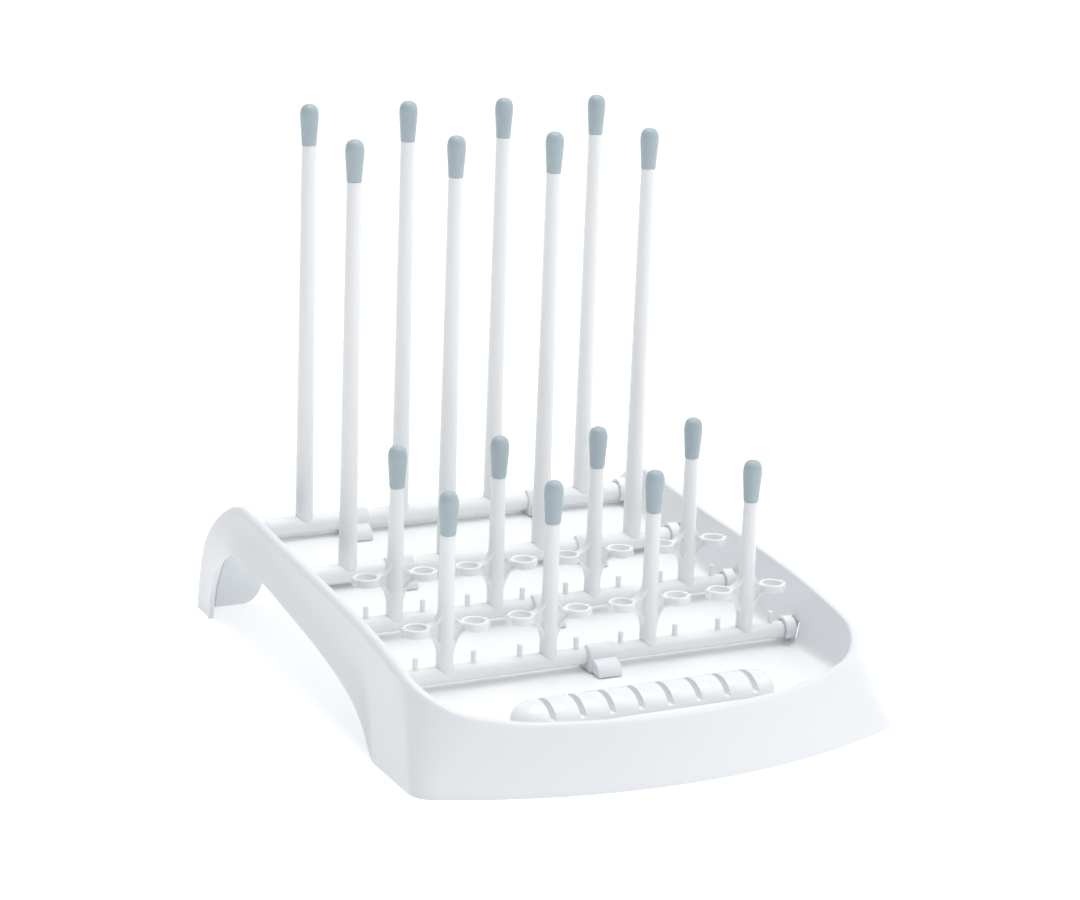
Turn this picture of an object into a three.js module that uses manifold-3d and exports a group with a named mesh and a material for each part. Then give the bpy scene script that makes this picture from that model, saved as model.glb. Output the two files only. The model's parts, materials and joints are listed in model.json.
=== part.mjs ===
// Bottle drying rack: a moulded tray that carries four turning rails. Each rail holds four
// pegs with soft tips. The two front rails have short pegs with a pair of ring holders each,
// and the two rear rails have tall pegs. Millimetres, +Z up, +Y to the rear, origin on the
// ground under the middle of the rack.
import * as THREE from 'three';
import { mergeVertices } from 'three/addons/utils/BufferGeometryUtils.js';
import Module from 'manifold-3d';

// ---- driving dimensions ------------------------------------------------------------------
const GAP = 0.3; // between pieces that touch

const PITCH = 60; // peg to peg along a rail
const COLUMNS = [-1.5, -0.5, 0.5, 1.5].map((step) => step * PITCH);
const ROWS = [
  { name: 'front_rail', y: -65, z: 31.8, radius: 4.7, tall: false, supports: [0] },
  { name: 'second_rail', y: 0, z: 39.3, radius: 4.7, tall: false, supports: [0] },
  { name: 'third_rail', y: 65, z: 47.6, radius: 5.6, tall: true, supports: [-PITCH, PITCH] },
  { name: 'rear_rail', y: 130, z: 57.5, radius: 5.6, tall: true, supports: [-PITCH, PITCH] },
];

const BAR_HALF_LENGTH = 120;
const BEARING_GAP = 0.4; // between a bar and what carries it
const SOCKET_RADIUS = 2.8;
const SOCKET_DEPTH = 2.6; // from the bar's axis down

const SHORT_TOP = 98.7; // tip top above the bar's axis
const TALL_TOP = 243;
const SHORT_PEG = { foot: 4.6, neck: 3.9 };
const TALL_PEG = { foot: 5.2, neck: 4.1 };
const PEG_TAPER_START = 12; // above the bar's axis
const TIP_LENGTH = 22.6;
const TIP_RADIUS = 5.2;
const TIP_BORE_DEPTH = 14;
const TIP_BORE_RADIUS = 2.4;

const RING_OFFSET = 16.6; // ring centre from the peg's axis
const RING_OUTER = 7.1;
const RING_BORE = 5.5;
const RING_TOP = 27.7; // above the bar's axis
const RING_HEIGHT = 4.6;
const SLIT_WIDTH = 1.6;
const LIP_LENGTH = 0.9;
const LIP_THICKNESS = 1.5;
const FLANGE_WIDTH = 5.2;
const FLANGE_THICKNESS = 1.4;
const FLANGE_REACH = 7.2; // along X, from the ring back into the peg
const UPPER_FLANGE_RISE = 10.5;
const LOWER_FLANGE_DROP = 17.9;
const WEB_THICKNESS = 1.8;
const PIN_RADIUS = 1.45;
const PIN_HEIGHT = 6.4; // above the bar

const WALL = 3; // moulded wall of the tray
const RIM_HALF_WIDTH = 127;
const RIM_FRONT_Y = -156;
const RIM_FRONT_RADIUS = 280;
const RIM_CORNER_RADIUS = 34;
const EDGE_HALF_WIDTH = 141;
const EDGE_FRONT_Y = -175;
const EDGE_FRONT_RADIUS = 332;
const EDGE_CORNER_RADIUS = 14;
const INNER_DRAFT = 0.25;
const INNER_FILLET = 6;
const RIM_REACH = 6; // rim width, inner line to the top of the skirt
const LEG_FLARE = 7; // wider than that down a leg
const RIM_DROP = 4; // rim's crest to the top of the skirt
const SKIRT_HOLLOW = 0.8;
const SHEET_HALF_WIDTH = 115;
const PANEL_EDGE = 112;

// Heights along the side, as [y, z].
const RIM_HEIGHTS = [
  [-156, 31.5], [-145, 32.3], [-135, 36.3], [-125, 41.6], [-110, 47.8], [-85, 53.6],
  [-50, 59], [0, 63.6], [60, 67.8], [100, 71.2], [124, 72.6],
];
const EDGE_HEIGHTS = [
  [-180, 0], [-92, 0], [-86, 4.5], [-79, 12.5], [-68, 20.8], [-53, 27], [-37, 31.5],
  [-16, 36], [20, 41.7], [65, 47.6], [97, 50.2],
];
const FLOOR_HEIGHTS = [
  [-160, 22], [-100, 22.4], [-65, 24.2], [0, 31.2], [65, 40.6], [124, 49.5],
  [132, 50.4], [145, 50.4],
];
// The rear leg, from the top of the hump to the ground, as [y, z]: the rim line, the skirt's
// free edge and the sheet that turns down from the floor into the rear panel.
const LEG_STATIONS = [
  { rim: [124, 72.6], edge: [97, 50.2], sheet: [124, 49.5] },
  { rim: [137, 69.6], edge: [112.5, 48.8], sheet: [131.5, 50.4] },
  { rim: [149, 61.4], edge: [124, 45], sheet: [140, 49] },
  { rim: [159, 49.2], edge: [133.5, 38], sheet: [150.5, 43] },
  { rim: [166.5, 34.2], edge: [141, 27.5], sheet: [161, 31] },
  { rim: [171.5, 17], edge: [147, 15], sheet: [167.8, 16.2] },
  { rim: [174.5, 0], edge: [149, 0], sheet: [170.8, 0] },
];
const PANEL_BOTTOM = 4; // rear panel above the ground
const ARCH_HALF_WIDTH = 103;
const ARCH_TOP = 31;
const ARCH_CORNER = 24;

const RIDGE_Y = -118;
const RIDGE_HALF_LENGTH = 76;
const RIDGE_HALF_WIDTH = 13;
const RIDGE_TOP = 32;
const RIDGE_SLOTS = 8;
const RIDGE_SLOT_PITCH = 16.9;
const RIDGE_SLOT_WIDTH = 3.3;
const RIDGE_SLOT_FLOOR = 24.5;

const CLIP_WALL = 2;
const CLIP_INNER_X = 114;
const CLIP_OUTER_X = 121;
const CLIP_ARM_X = 127.5; // inside the tray's wall
const CLIP_PLATE = 3;
const WINDOW_X = 122;
const WINDOW_DEPTH = 14;
const WINDOW_WIDTH = 9;
const WINDOW_BELOW = 7;
const WINDOW_ABOVE = 7.5;
const WINDOW_OFFSET = 3; // in front of the bar's axis

const SUPPORT_WIDTH = 16.5;
const SUPPORT_DEPTH = 15;
const SUPPORT_TOE_WIDTH = 14;
const SUPPORT_TOE = 8;

// ---- materials ---------------------------------------------------------------------------
function paint(colour, roughness) {
  return new THREE.MeshStandardMaterial({ color: colour, roughness, metalness: 0 });
}

const WHITE = paint(0xf1f4f6, 0.35);
const RAIL_WHITE = paint(0xeef1f3, 0.4);
const TIP_BLUE = paint(0xa5b3ba, 0.55);

// ---- solids ------------------------------------------------------------------------------
const wasm = await Module();
wasm.setup();

function solid(geometry) {
  const bare = geometry.index ? geometry.clone() : geometry;
  for (const name of Object.keys(bare.attributes)) {
    if (name !== 'position') bare.deleteAttribute(name);
  }
  const merged = mergeVertices(bare, 1e-4);
  return new wasm.Manifold(new wasm.Mesh({
    numProp: 3,
    vertProperties: new Float32Array(merged.attributes.position.array),
    triVerts: new Uint32Array(merged.index.array),
  }));
}

function geometryOf(manifold) {
  const mesh = manifold.getMesh();
  const geometry = new THREE.BufferGeometry();
  geometry.setAttribute('position', new THREE.BufferAttribute(new Float32Array(mesh.vertProperties), 3));
  geometry.setIndex(new THREE.BufferAttribute(new Uint32Array(mesh.triVerts), 1));
  geometry.computeVertexNormals();
  return geometry;
}

function outward(geometry) {
  // Turns a closed mesh whose faces point inwards the right way out.
  const corner = [new THREE.Vector3(), new THREE.Vector3(), new THREE.Vector3()];
  const { index, attributes: { position } } = geometry;
  let volume = 0;
  for (let i = 0; i < index.count; i += 3) {
    corner.forEach((point, k) => point.fromBufferAttribute(position, index.getX(i + k)));
    volume += corner[0].dot(corner[1].cross(corner[2]));
  }
  if (volume < 0) {
    for (let i = 0; i < index.count; i += 3) {
      const first = index.getX(i);
      index.setX(i, index.getX(i + 1));
      index.setX(i + 1, first);
    }
  }
  return geometry;
}

function block(sizeX, sizeY, sizeZ, x, y, z) {
  return solid(new THREE.BoxGeometry(sizeX, sizeY, sizeZ).translate(x, y, z));
}

function turned(profile, segments) {
  // A profile of [radius, z] from the axis back to the axis, turned round Z.
  const points = profile.map(([radius, z]) => new THREE.Vector2(radius, z));
  return new THREE.LatheGeometry(points, segments).rotateX(Math.PI / 2);
}

function prismX(points, length, x = 0) {
  // An outline of [y, z] drawn out along X, centred on x.
  const shape = new THREE.Shape(points.map(([y, z]) => new THREE.Vector2(y, z)));
  const geometry = new THREE.ExtrudeGeometry(shape, { depth: length, bevelEnabled: false, steps: 1 });
  // Local (x, y, z) becomes (y, z, x).
  geometry.rotateX(Math.PI / 2).rotateZ(Math.PI / 2).translate(x - length / 2, 0, 0);
  return solid(geometry);
}

function prismY(points, length, y = 0) {
  // An outline of [x, z] drawn out along Y, centred on y.
  const shape = new THREE.Shape(points.map(([x, z]) => new THREE.Vector2(x, z)));
  const geometry = new THREE.ExtrudeGeometry(shape, { depth: length, bevelEnabled: false, steps: 1 });
  geometry.rotateX(Math.PI / 2).translate(0, y + length / 2, 0);
  return solid(geometry);
}

function prismZ(points, height, z) {
  // An outline of [x, y] drawn up from z.
  const shape = new THREE.Shape(points.map(([x, y]) => new THREE.Vector2(x, y)));
  const geometry = new THREE.ExtrudeGeometry(shape, { depth: height, bevelEnabled: false, steps: 1 });
  return solid(geometry.translate(0, 0, z));
}

function ellipse(centreU, centreV, radiusU, radiusV, fromDegrees, toDegrees, steps) {
  const points = [];
  for (let i = 0; i <= steps; i++) {
    const angle = THREE.MathUtils.degToRad(THREE.MathUtils.lerp(fromDegrees, toDegrees, i / steps));
    points.push([centreU + radiusU * Math.cos(angle), centreV + radiusV * Math.sin(angle)]);
  }
  return points;
}

function arc(centreU, centreV, radius, fromDegrees, toDegrees, steps) {
  return ellipse(centreU, centreV, radius, radius, fromDegrees, toDegrees, steps);
}

function smoothHeight(table, y) {
  // A smooth curve through [y, height] rows that never overshoots between two of them.
  let i = table.findIndex((row) => row[0] >= y);
  if (i < 0) return table[table.length - 1][1];
  i = Math.max(i, 1);
  const slope = (k) => (table[k + 1][1] - table[k][1]) / (table[k + 1][0] - table[k][0]);
  const tangent = (k) => {
    if (k === 0) return slope(0);
    if (k === table.length - 1) return slope(k - 1);
    const before = slope(k - 1);
    const after = slope(k);
    return before * after <= 0 ? 0 : (2 * before * after) / (before + after);
  };
  const span = table[i][0] - table[i - 1][0];
  const t = THREE.MathUtils.clamp((y - table[i - 1][0]) / span, 0, 1);
  const rise = t * t * (3 - 2 * t);
  return table[i - 1][1] * (1 - rise) + table[i][1] * rise
    + span * (t * (1 - t) * (1 - t) * tangent(i - 1) - t * t * (1 - t) * tangent(i));
}

// ---- tray --------------------------------------------------------------------------------
function frontOutline(halfWidth, frontY, frontRadius, cornerRadius, frontSteps, cornerSteps) {
  // Half of a bowed front with a round corner, from the middle to the side, as position and
  // outward normal.
  const centreY = frontY + frontRadius;
  const cornerX = halfWidth - cornerRadius;
  const reach = frontRadius - cornerRadius;
  const cornerY = centreY - Math.sqrt(reach * reach - cornerX * cornerX);
  const turn = Math.asin(cornerX / reach);
  const stations = [];
  const add = (x, y, radius, angle) => stations.push({
    x: x + radius * Math.sin(angle), y: y - radius * Math.cos(angle), normal: angle,
  });
  for (let i = 0; i < frontSteps; i++) add(0, centreY, frontRadius, (turn * i) / frontSteps);
  for (let i = 0; i <= cornerSteps; i++) {
    add(cornerX, cornerY, cornerRadius, THREE.MathUtils.lerp(turn, Math.PI / 2, i / cornerSteps));
  }
  return stations;
}

const FRONT_STEPS = 6;
const CORNER_STEPS = 6;
const SIDE_EDGE_Y = [-116, -99, -92, -86, -79, -70, -58, -40, -12, 25, 62];

function trayStations() {
  // Half of the rim's run, from the middle of the front round to the rear foot. Each station
  // has the rim's inner line, the skirt's free edge, the section's outward and up directions,
  // and the depth of the tray inside the rim.
  const rims = frontOutline(
    RIM_HALF_WIDTH, RIM_FRONT_Y, RIM_FRONT_RADIUS, RIM_CORNER_RADIUS, FRONT_STEPS, CORNER_STEPS);
  const edges = frontOutline(
    EDGE_HALF_WIDTH, EDGE_FRONT_Y, EDGE_FRONT_RADIUS, EDGE_CORNER_RADIUS, FRONT_STEPS, CORNER_STEPS);
  const rimStart = rims[rims.length - 1].y;
  const edgeStart = edges[edges.length - 1].y;
  const [rimEnd] = LEG_STATIONS[0].rim;
  const [edgeEnd] = LEG_STATIONS[0].edge;
  for (const y of SIDE_EDGE_Y) {
    const share = (y - edgeStart) / (edgeEnd - edgeStart);
    edges.push({ x: EDGE_HALF_WIDTH, y });
    rims.push({ x: RIM_HALF_WIDTH, y: THREE.MathUtils.lerp(rimStart, rimEnd, share), normal: Math.PI / 2 });
  }
  const stations = rims.map((rim, i) => {
    const rimZ = smoothHeight(RIM_HEIGHTS, rim.y);
    return {
      rim: new THREE.Vector3(rim.x, rim.y, rimZ),
      edge: new THREE.Vector3(edges[i].x, edges[i].y, smoothHeight(EDGE_HEIGHTS, edges[i].y)),
      out: new THREE.Vector3(Math.sin(rim.normal), -Math.cos(rim.normal), 0),
      up: new THREE.Vector3(0, 0, 1),
      depth: rimZ - smoothHeight(FLOOR_HEIGHTS, rim.y),
    };
  });
  return stations.concat(legStations());
}

function legCurve(key) {
  return new THREE.SplineCurve(LEG_STATIONS.map((row) => new THREE.Vector2(...row[key])));
}

const LEG_STEPS = 2 * (LEG_STATIONS.length - 1);

function legStations() {
  const [rimCurve, edgeCurve, sheetCurve] = ['rim', 'edge', 'sheet'].map(legCurve);
  const stations = [];
  for (let i = 0; i <= LEG_STEPS; i++) {
    const rim = rimCurve.getPoint(i / LEG_STEPS);
    const edge = edgeCurve.getPoint(i / LEG_STEPS);
    const floor = sheetCurve.getPoint(i / LEG_STEPS);
    const up = rim.clone().sub(floor);
    const depth = up.length();
    up.divideScalar(depth);
    stations.push({
      rim: new THREE.Vector3(RIM_HALF_WIDTH, rim.x, rim.y),
      edge: new THREE.Vector3(EDGE_HALF_WIDTH, edge.x, edge.y),
      out: new THREE.Vector3(1, 0, 0),
      up: new THREE.Vector3(0, up.x, up.y),
      depth,
      reach: RIM_REACH + LEG_FLARE * THREE.MathUtils.smoothstep(i / LEG_STEPS, 0, 0.6),
      leg: true,
    });
  }
  return stations;
}

function traySection({ rim, edge, out, up, depth, reach = RIM_REACH, leg }) {
  // One closed loop of the tray's wall: skirt, rolled rim, inner wall and its fillet.
  function place(across, above) {
    return rim.clone().addScaledVector(out, across).addScaledVector(up, above);
  }
  const fillet = Math.min(INNER_FILLET, 0.6 * depth);
  const foot = -INNER_DRAFT * (depth - fillet);
  const flatStart = foot - fillet;
  const inside = leg ? PANEL_EDGE - RIM_HALF_WIDTH : flatStart - WALL;
  const top = place(reach, -RIM_DROP);
  function skirt(share) {
    const hollow = SKIRT_HOLLOW * Math.sin(Math.PI * share);
    return top.clone().lerp(edge, share).addScaledVector(out, -hollow);
  }
  return [
    place(0, 0),
    place(foot, fillet - depth),
    place(foot - 0.32 * fillet, 0.32 * fillet - depth),
    place(flatStart, -depth),
    place(inside, -depth),
    place(inside, -depth - WALL),
    place(foot + 0.6 * WALL, -depth - WALL),
    place(WALL + 0.3, -Math.min(6, depth + WALL - 0.5)),
    edge.clone().addScaledVector(out, -WALL),
    edge.clone(),
    skirt(0.66),
    skirt(0.33),
    top,
    place(reach - 0.9, -1.5),
    place(reach - 3, 0.2),
    place(1.2, 0.5),
  ];
}

function loft(sections) {
  // Closed loops with the same number of points, joined in order and capped at both ends.
  const size = sections[0].length;
  const positions = sections.flatMap((loop) => loop.flatMap((point) => point.toArray()));
  const index = [];
  for (let s = 0; s + 1 < sections.length; s++) {
    for (let k = 0; k < size; k++) {
      const a = s * size + k;
      const b = s * size + ((k + 1) % size);
      index.push(a, b, b + size, a, b + size, a + size);
    }
  }
  // The caps lie level, and turn the way that closes the sides.
  const cap = (start, opening) => {
    const flat = sections[start / size].map((point) => new THREE.Vector2(point.x, point.y));
    const turn = Math.sign(THREE.ShapeUtils.area(flat)) * (opening ? -1 : 1);
    for (const [a, b, c] of THREE.ShapeUtils.triangulateShape(flat, [])) {
      const way = Math.sign(THREE.ShapeUtils.area([flat[a], flat[b], flat[c]]));
      index.push(start + a, start + (way === turn ? b : c), start + (way === turn ? c : b));
    }
  };
  cap(0, true);
  cap((sections.length - 1) * size, false);
  const geometry = new THREE.BufferGeometry();
  geometry.setAttribute('position', new THREE.Float32BufferAttribute(positions, 3));
  geometry.setIndex(index);
  return geometry;
}

function trayWall(stations) {
  const half = stations.map(traySection);
  const mirrored = half.slice(1).reverse()
    .map((loop) => loop.map((point) => new THREE.Vector3(-point.x, point.y, point.z)));
  return solid(outward(loft([...mirrored, ...half])));
}

function sheet(stations) {
  // The floor and the rear panel, one plate that follows the side profile.
  const upper = [[FLOOR_HEIGHTS[0][0], FLOOR_HEIGHTS[0][1]]];
  for (let y = -100; y < LEG_STATIONS[0].sheet[0]; y += 11) upper.push([y, smoothHeight(FLOOR_HEIGHTS, y)]);
  const lower = upper.map(([y, z]) => [y, z - WALL]);
  const curve = legCurve('sheet');
  for (let i = 0; i < LEG_STEPS; i++) {
    const point = curve.getPoint(i / LEG_STEPS);
    const along = curve.getTangent(i / LEG_STEPS);
    upper.push([point.x, Math.max(point.y, PANEL_BOTTOM)]);
    lower.push([point.x + WALL * along.y, Math.max(point.y - WALL * along.x, PANEL_BOTTOM)]);
  }
  const [footY] = upper[upper.length - 1];
  upper.push([footY + 0.5, PANEL_BOTTOM]);
  lower.push([footY + 0.5 - WALL, PANEL_BOTTOM]);
  const plate = prismX([...upper, ...lower.reverse()], 2 * SHEET_HALF_WIDTH);
  const edge = stations.filter((station) => !station.leg).map((station) => {
    const loop = traySection(station);
    return loop[3].clone().lerp(loop[4], 0.5);
  });
  const side = edge.filter((point) => point.x <= SHEET_HALF_WIDTH).map((point) => [point.x, point.y]);
  side.push([SHEET_HALF_WIDTH, side[side.length - 1][1] + 2], [SHEET_HALF_WIDTH, 220]);
  const outline = [...side, ...side.slice(1).reverse().map(([x, y]) => [-x, y])];
  return plate.intersect(prismZ(outline, 200, -20));
}

function archCut() {
  const cornerX = ARCH_HALF_WIDTH - ARCH_CORNER;
  const corner = arc(cornerX, ARCH_TOP - ARCH_CORNER, ARCH_CORNER, 0, 90, 6);
  const right = [[ARCH_HALF_WIDTH + 12, -5], [ARCH_HALF_WIDTH + 12, PANEL_BOTTOM], ...corner];
  const left = [...right].reverse().map(([x, z]) => [-x, z]);
  return prismY([...right, ...left], 60, LEG_STATIONS[3].rim[0] + 5);
}

function ridge() {
  // A half barrel with round ends, crossed by slots.
  const floor = smoothHeight(FLOOR_HEIGHTS, RIDGE_Y);
  const rise = RIDGE_TOP - floor;
  const root = floor - 1;
  const ends = RIDGE_HALF_LENGTH - RIDGE_HALF_WIDTH;
  const profile = [[0, 0], [RIDGE_HALF_WIDTH, 0]];
  for (let i = 1; i <= 3; i++) {
    const angle = (Math.PI / 6) * i;
    profile.push([i === 3 ? 0 : RIDGE_HALF_WIDTH * Math.cos(angle), rise * Math.sin(angle) + 1]);
  }
  let barrel = prismX([
    ...ellipse(RIDGE_Y, floor, RIDGE_HALF_WIDTH, rise, 0, 180, 6),
    [RIDGE_Y - RIDGE_HALF_WIDTH, root], [RIDGE_Y + RIDGE_HALF_WIDTH, root],
  ], 2 * ends);
  for (const side of [-1, 1]) {
    barrel = barrel.add(solid(outward(turned(profile, 12).translate(side * ends, RIDGE_Y, root))));
  }
  return barrel;
}

function ridgeSlots() {
  const slots = [];
  for (let i = 0; i < RIDGE_SLOTS; i++) {
    const x = (i - (RIDGE_SLOTS - 1) / 2) * RIDGE_SLOT_PITCH;
    slots.push(block(RIDGE_SLOT_WIDTH, 40, 20, x, RIDGE_Y, RIDGE_SLOT_FLOOR + 10));
  }
  return slots;
}

function band(row, radius, thickness, fromDegrees, toDegrees, steps, innerX, outerX, side) {
  // Part of a round wall about a bar's axis, between two places along X.
  const outline = [
    ...arc(row.y, row.z, radius + thickness, fromDegrees, toDegrees, steps),
    ...arc(row.y, row.z, radius, fromDegrees, toDegrees, steps).reverse(),
  ];
  return prismX(outline, outerX - innerX, (side * (innerX + outerX)) / 2);
}

function endClip(row, side) {
  // A bearing that reaches in from the side wall and curls over the end of a bar.
  const bore = row.radius + BEARING_GAP;
  const cover = band(row, bore, CLIP_WALL, 10, 150, 6, CLIP_INNER_X, CLIP_OUTER_X, side);
  const plate = band(row, bore, CLIP_WALL, 100, 250, 6, CLIP_OUTER_X - CLIP_PLATE, CLIP_OUTER_X, side);
  const arm = band(row, bore, CLIP_WALL, -20, 80, 4, CLIP_INNER_X, CLIP_ARM_X, side);
  return cover.add(plate).add(arm);
}

function wallWindow(row, side) {
  // The moulding slot in the inner wall beside a bar's end, in front of the clip's arm.
  const height = WINDOW_BELOW + WINDOW_ABOVE;
  const middle = row.z + (WINDOW_ABOVE - WINDOW_BELOW) / 2;
  return block(WINDOW_DEPTH, WINDOW_WIDTH, height, side * WINDOW_X, row.y - WINDOW_OFFSET, middle);
}

function barRoom(row) {
  // Keeps the tray's inner wall clear of a bar's ends.
  const length = 2 * (BAR_HALF_LENGTH + 2 * BEARING_GAP);
  return cylinderX(row.radius + BEARING_GAP, length, 16).translate(0, row.y, row.z);
}

function tray() {
  const stations = trayStations();
  let body = trayWall(stations).add(sheet(stations)).subtract(archCut()).add(ridge());
  for (const slot of ridgeSlots()) body = body.subtract(slot);
  for (const row of ROWS) {
    for (const side of [-1, 1]) body = body.subtract(wallWindow(row, side)).add(endClip(row, side));
    body = body.subtract(barRoom(row));
  }
  return body;
}

// ---- rails -------------------------------------------------------------------------------
function cylinderX(radius, length, segments, x = 0) {
  const geometry = new THREE.CylinderGeometry(radius, radius, length, segments);
  return solid(geometry.rotateZ(Math.PI / 2).translate(x, 0, 0));
}

function pin(top) {
  return turned([[0, 0], [PIN_RADIUS, 0], [PIN_RADIUS, top - 0.8], [0.9, top], [0, top]], 6);
}

function bar({ tall, radius }) {
  // The turning bar of a rail, with a blind socket for each peg. A short rail's bar also has a
  // round pin under each ring.
  let body = cylinderX(radius, 2 * BAR_HALF_LENGTH, 16);
  for (const x of COLUMNS) {
    const length = SOCKET_DEPTH + 2 * radius;
    const socket = new THREE.CylinderGeometry(SOCKET_RADIUS, SOCKET_RADIUS, length, 8);
    socket.rotateX(Math.PI / 2).translate(x, 0, length / 2 - SOCKET_DEPTH);
    if (!tall) {
      for (const side of [-1, 1]) {
        const upright = pin(radius + PIN_HEIGHT).translate(x + side * RING_OFFSET, 0, 0);
        body = body.add(solid(outward(upright)));
      }
    }
    body = body.subtract(solid(socket));
  }
  return body;
}

function stem(top, { foot, neck }, barRadius, segments) {
  // A tapered peg whose saddle foot sits on the bar, with a spigot below and a stud above.
  const shoulder = top - TIP_LENGTH - GAP;
  const studTop = shoulder + TIP_BORE_DEPTH - GAP;
  const start = 2;
  const profile = [
    [0, start], [foot, start], [foot, PEG_TAPER_START], [neck, shoulder],
    [TIP_BORE_RADIUS - GAP, shoulder], [TIP_BORE_RADIUS - GAP, studTop], [0, studTop],
  ];
  const spigotRadius = SOCKET_RADIUS - GAP;
  const spigotLength = SOCKET_DEPTH - GAP + 8;
  const spigot = new THREE.CylinderGeometry(spigotRadius, spigotRadius, spigotLength, 8);
  spigot.rotateX(Math.PI / 2).translate(0, 0, spigotLength / 2 - SOCKET_DEPTH + GAP);
  return solid(outward(turned(profile, segments)))
    .subtract(cylinderX(barRadius + GAP, 30, 16))
    .add(solid(spigot));
}

function ringHolder(side) {
  // A split ring on a curved web, with a flange along the web's upper and lower edges.
  const centreX = RING_OFFSET - RING_OUTER + 1.1;
  const upperCentre = RING_TOP + UPPER_FLANGE_RISE;
  const lowerTop = RING_TOP - RING_HEIGHT - 0.9;
  const lowerCentre = lowerTop - LOWER_FLANGE_DROP;
  const curve = (centreZ, height, thicker, from, to, steps) => (
    ellipse(centreX, centreZ, FLANGE_REACH + thicker, height + thicker, from, to, steps));
  const strip = (centreZ, height, from, to) => prismY([
    ...curve(centreZ, height, 0, from, to, 5),
    ...curve(centreZ, height, FLANGE_THICKNESS, from, to, 5).reverse(),
  ], FLANGE_WIDTH);
  const middle = FLANGE_THICKNESS / 2;
  const web = prismY([
    ...curve(upperCentre, UPPER_FLANGE_RISE, middle, 180, 270, 4),
    ...curve(lowerCentre, LOWER_FLANGE_DROP, middle, 90, 180, 4),
  ], WEB_THICKNESS);
  const half = SLIT_WIDTH / 2;
  const lipEnd = RING_OFFSET + RING_OUTER + LIP_LENGTH;
  const ring = prismZ([
    [lipEnd, half], [lipEnd, half + LIP_THICKNESS],
    ...arc(RING_OFFSET, 0, RING_OUTER, 20, 340, 10),
    [lipEnd, -half - LIP_THICKNESS], [lipEnd, -half],
    ...arc(RING_OFFSET, 0, RING_BORE, 9, 351, 10).reverse(),
  ], RING_HEIGHT, RING_TOP - RING_HEIGHT);
  const holder = ring.add(strip(upperCentre, UPPER_FLANGE_RISE, 180, 270))
    .add(strip(lowerCentre, LOWER_FLANGE_DROP, 90, 180)).add(web);
  return side > 0 ? holder : holder.mirror([1, 0, 0]);
}

function shortPeg(barRadius) {
  const holders = ringHolder(-1).add(ringHolder(1)).subtract(cylinderX(barRadius + GAP, 60, 16));
  return stem(SHORT_TOP, SHORT_PEG, barRadius, 12).add(holders);
}

function tip() {
  // A soft cap that swells towards its round top, bored to fit the peg's stud.
  const bore = TIP_BORE_RADIUS;
  return turned([
    [0, TIP_BORE_DEPTH], [bore, TIP_BORE_DEPTH], [bore, 0], [4.2, 0], [4.8, 8],
    [TIP_RADIUS, 15], [4.6, 19.6], [2.8, 21.9], [0, TIP_LENGTH],
  ], 10);
}

function support(row) {
  // A saddle block on the tray's floor, with a hooked front jaw and a round toe.
  const half = SUPPORT_DEPTH / 2;
  const floor = (y) => smoothHeight(FLOOR_HEIGHTS, row.y + y) - row.z + 1.5 * GAP;
  const blockOutline = [
    [-half, floor(-half)], [half, floor(half)], [half, 0], [half - 1.5, 1.2], [2, 1.2], [2, 3],
    [-1, row.radius + 1.8], [-4, row.radius + 1.4], [-half + 0.6, 2],
  ];
  const toeFloor = floor(-half - SUPPORT_TOE);
  const toe = ellipse(-half, toeFloor, SUPPORT_TOE, SUPPORT_TOE, 90, 180, 4);
  toe.push([-half + 2, floor(-half + 2)], [-half + 2, toeFloor + SUPPORT_TOE]);
  return prismX(blockOutline, SUPPORT_WIDTH).add(prismX(toe.reverse(), SUPPORT_TOE_WIDTH))
    .subtract(cylinderX(row.radius + BEARING_GAP, 40, 16));
}

// ---- assembly ----------------------------------------------------------------------------
const rack = new THREE.Group();

function place(name, geometry, material, x, y, z) {
  const mesh = new THREE.Mesh(geometry, material);
  mesh.name = name;
  mesh.position.set(x, y, z);
  rack.add(mesh);
}

place('base_tray', geometryOf(tray()), WHITE, 0, 0, 0);

const tallStem = geometryOf(stem(TALL_TOP, TALL_PEG, ROWS[3].radius, 12));
const shortStem = geometryOf(shortPeg(ROWS[0].radius));
const tipShape = geometryOf(solid(outward(tip())));
for (const row of ROWS) {
  place(`${row.name}_bar`, geometryOf(bar(row)), RAIL_WHITE, 0, row.y, row.z);
  COLUMNS.forEach((x, i) => {
    const top = row.tall ? TALL_TOP : SHORT_TOP;
    place(`${row.name}_peg_${i + 1}`, row.tall ? tallStem : shortStem, RAIL_WHITE, x, row.y, row.z);
    place(`${row.name}_tip_${i + 1}`, tipShape, TIP_BLUE, x, row.y, row.z + top - TIP_LENGTH);
  });
  row.supports.forEach((x, i) => {
    place(`${row.name}_support_${i + 1}`, geometryOf(support(row)), WHITE, x, row.y, row.z);
  });
}

export default rack;
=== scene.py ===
"""Bottle drying rack: a moulded drip tray with four folding rails of pegs and soft caps.

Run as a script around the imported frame. Lengths in the tables below are millimetres, in the
frame's axes: +X across the rails, +Y to the rear, +Z up.
"""
import json
import math

import bmesh
import bpy
from bpy.props import FloatProperty, FloatVectorProperty, IntProperty, PointerProperty
from mathutils import Matrix, Vector


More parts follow.
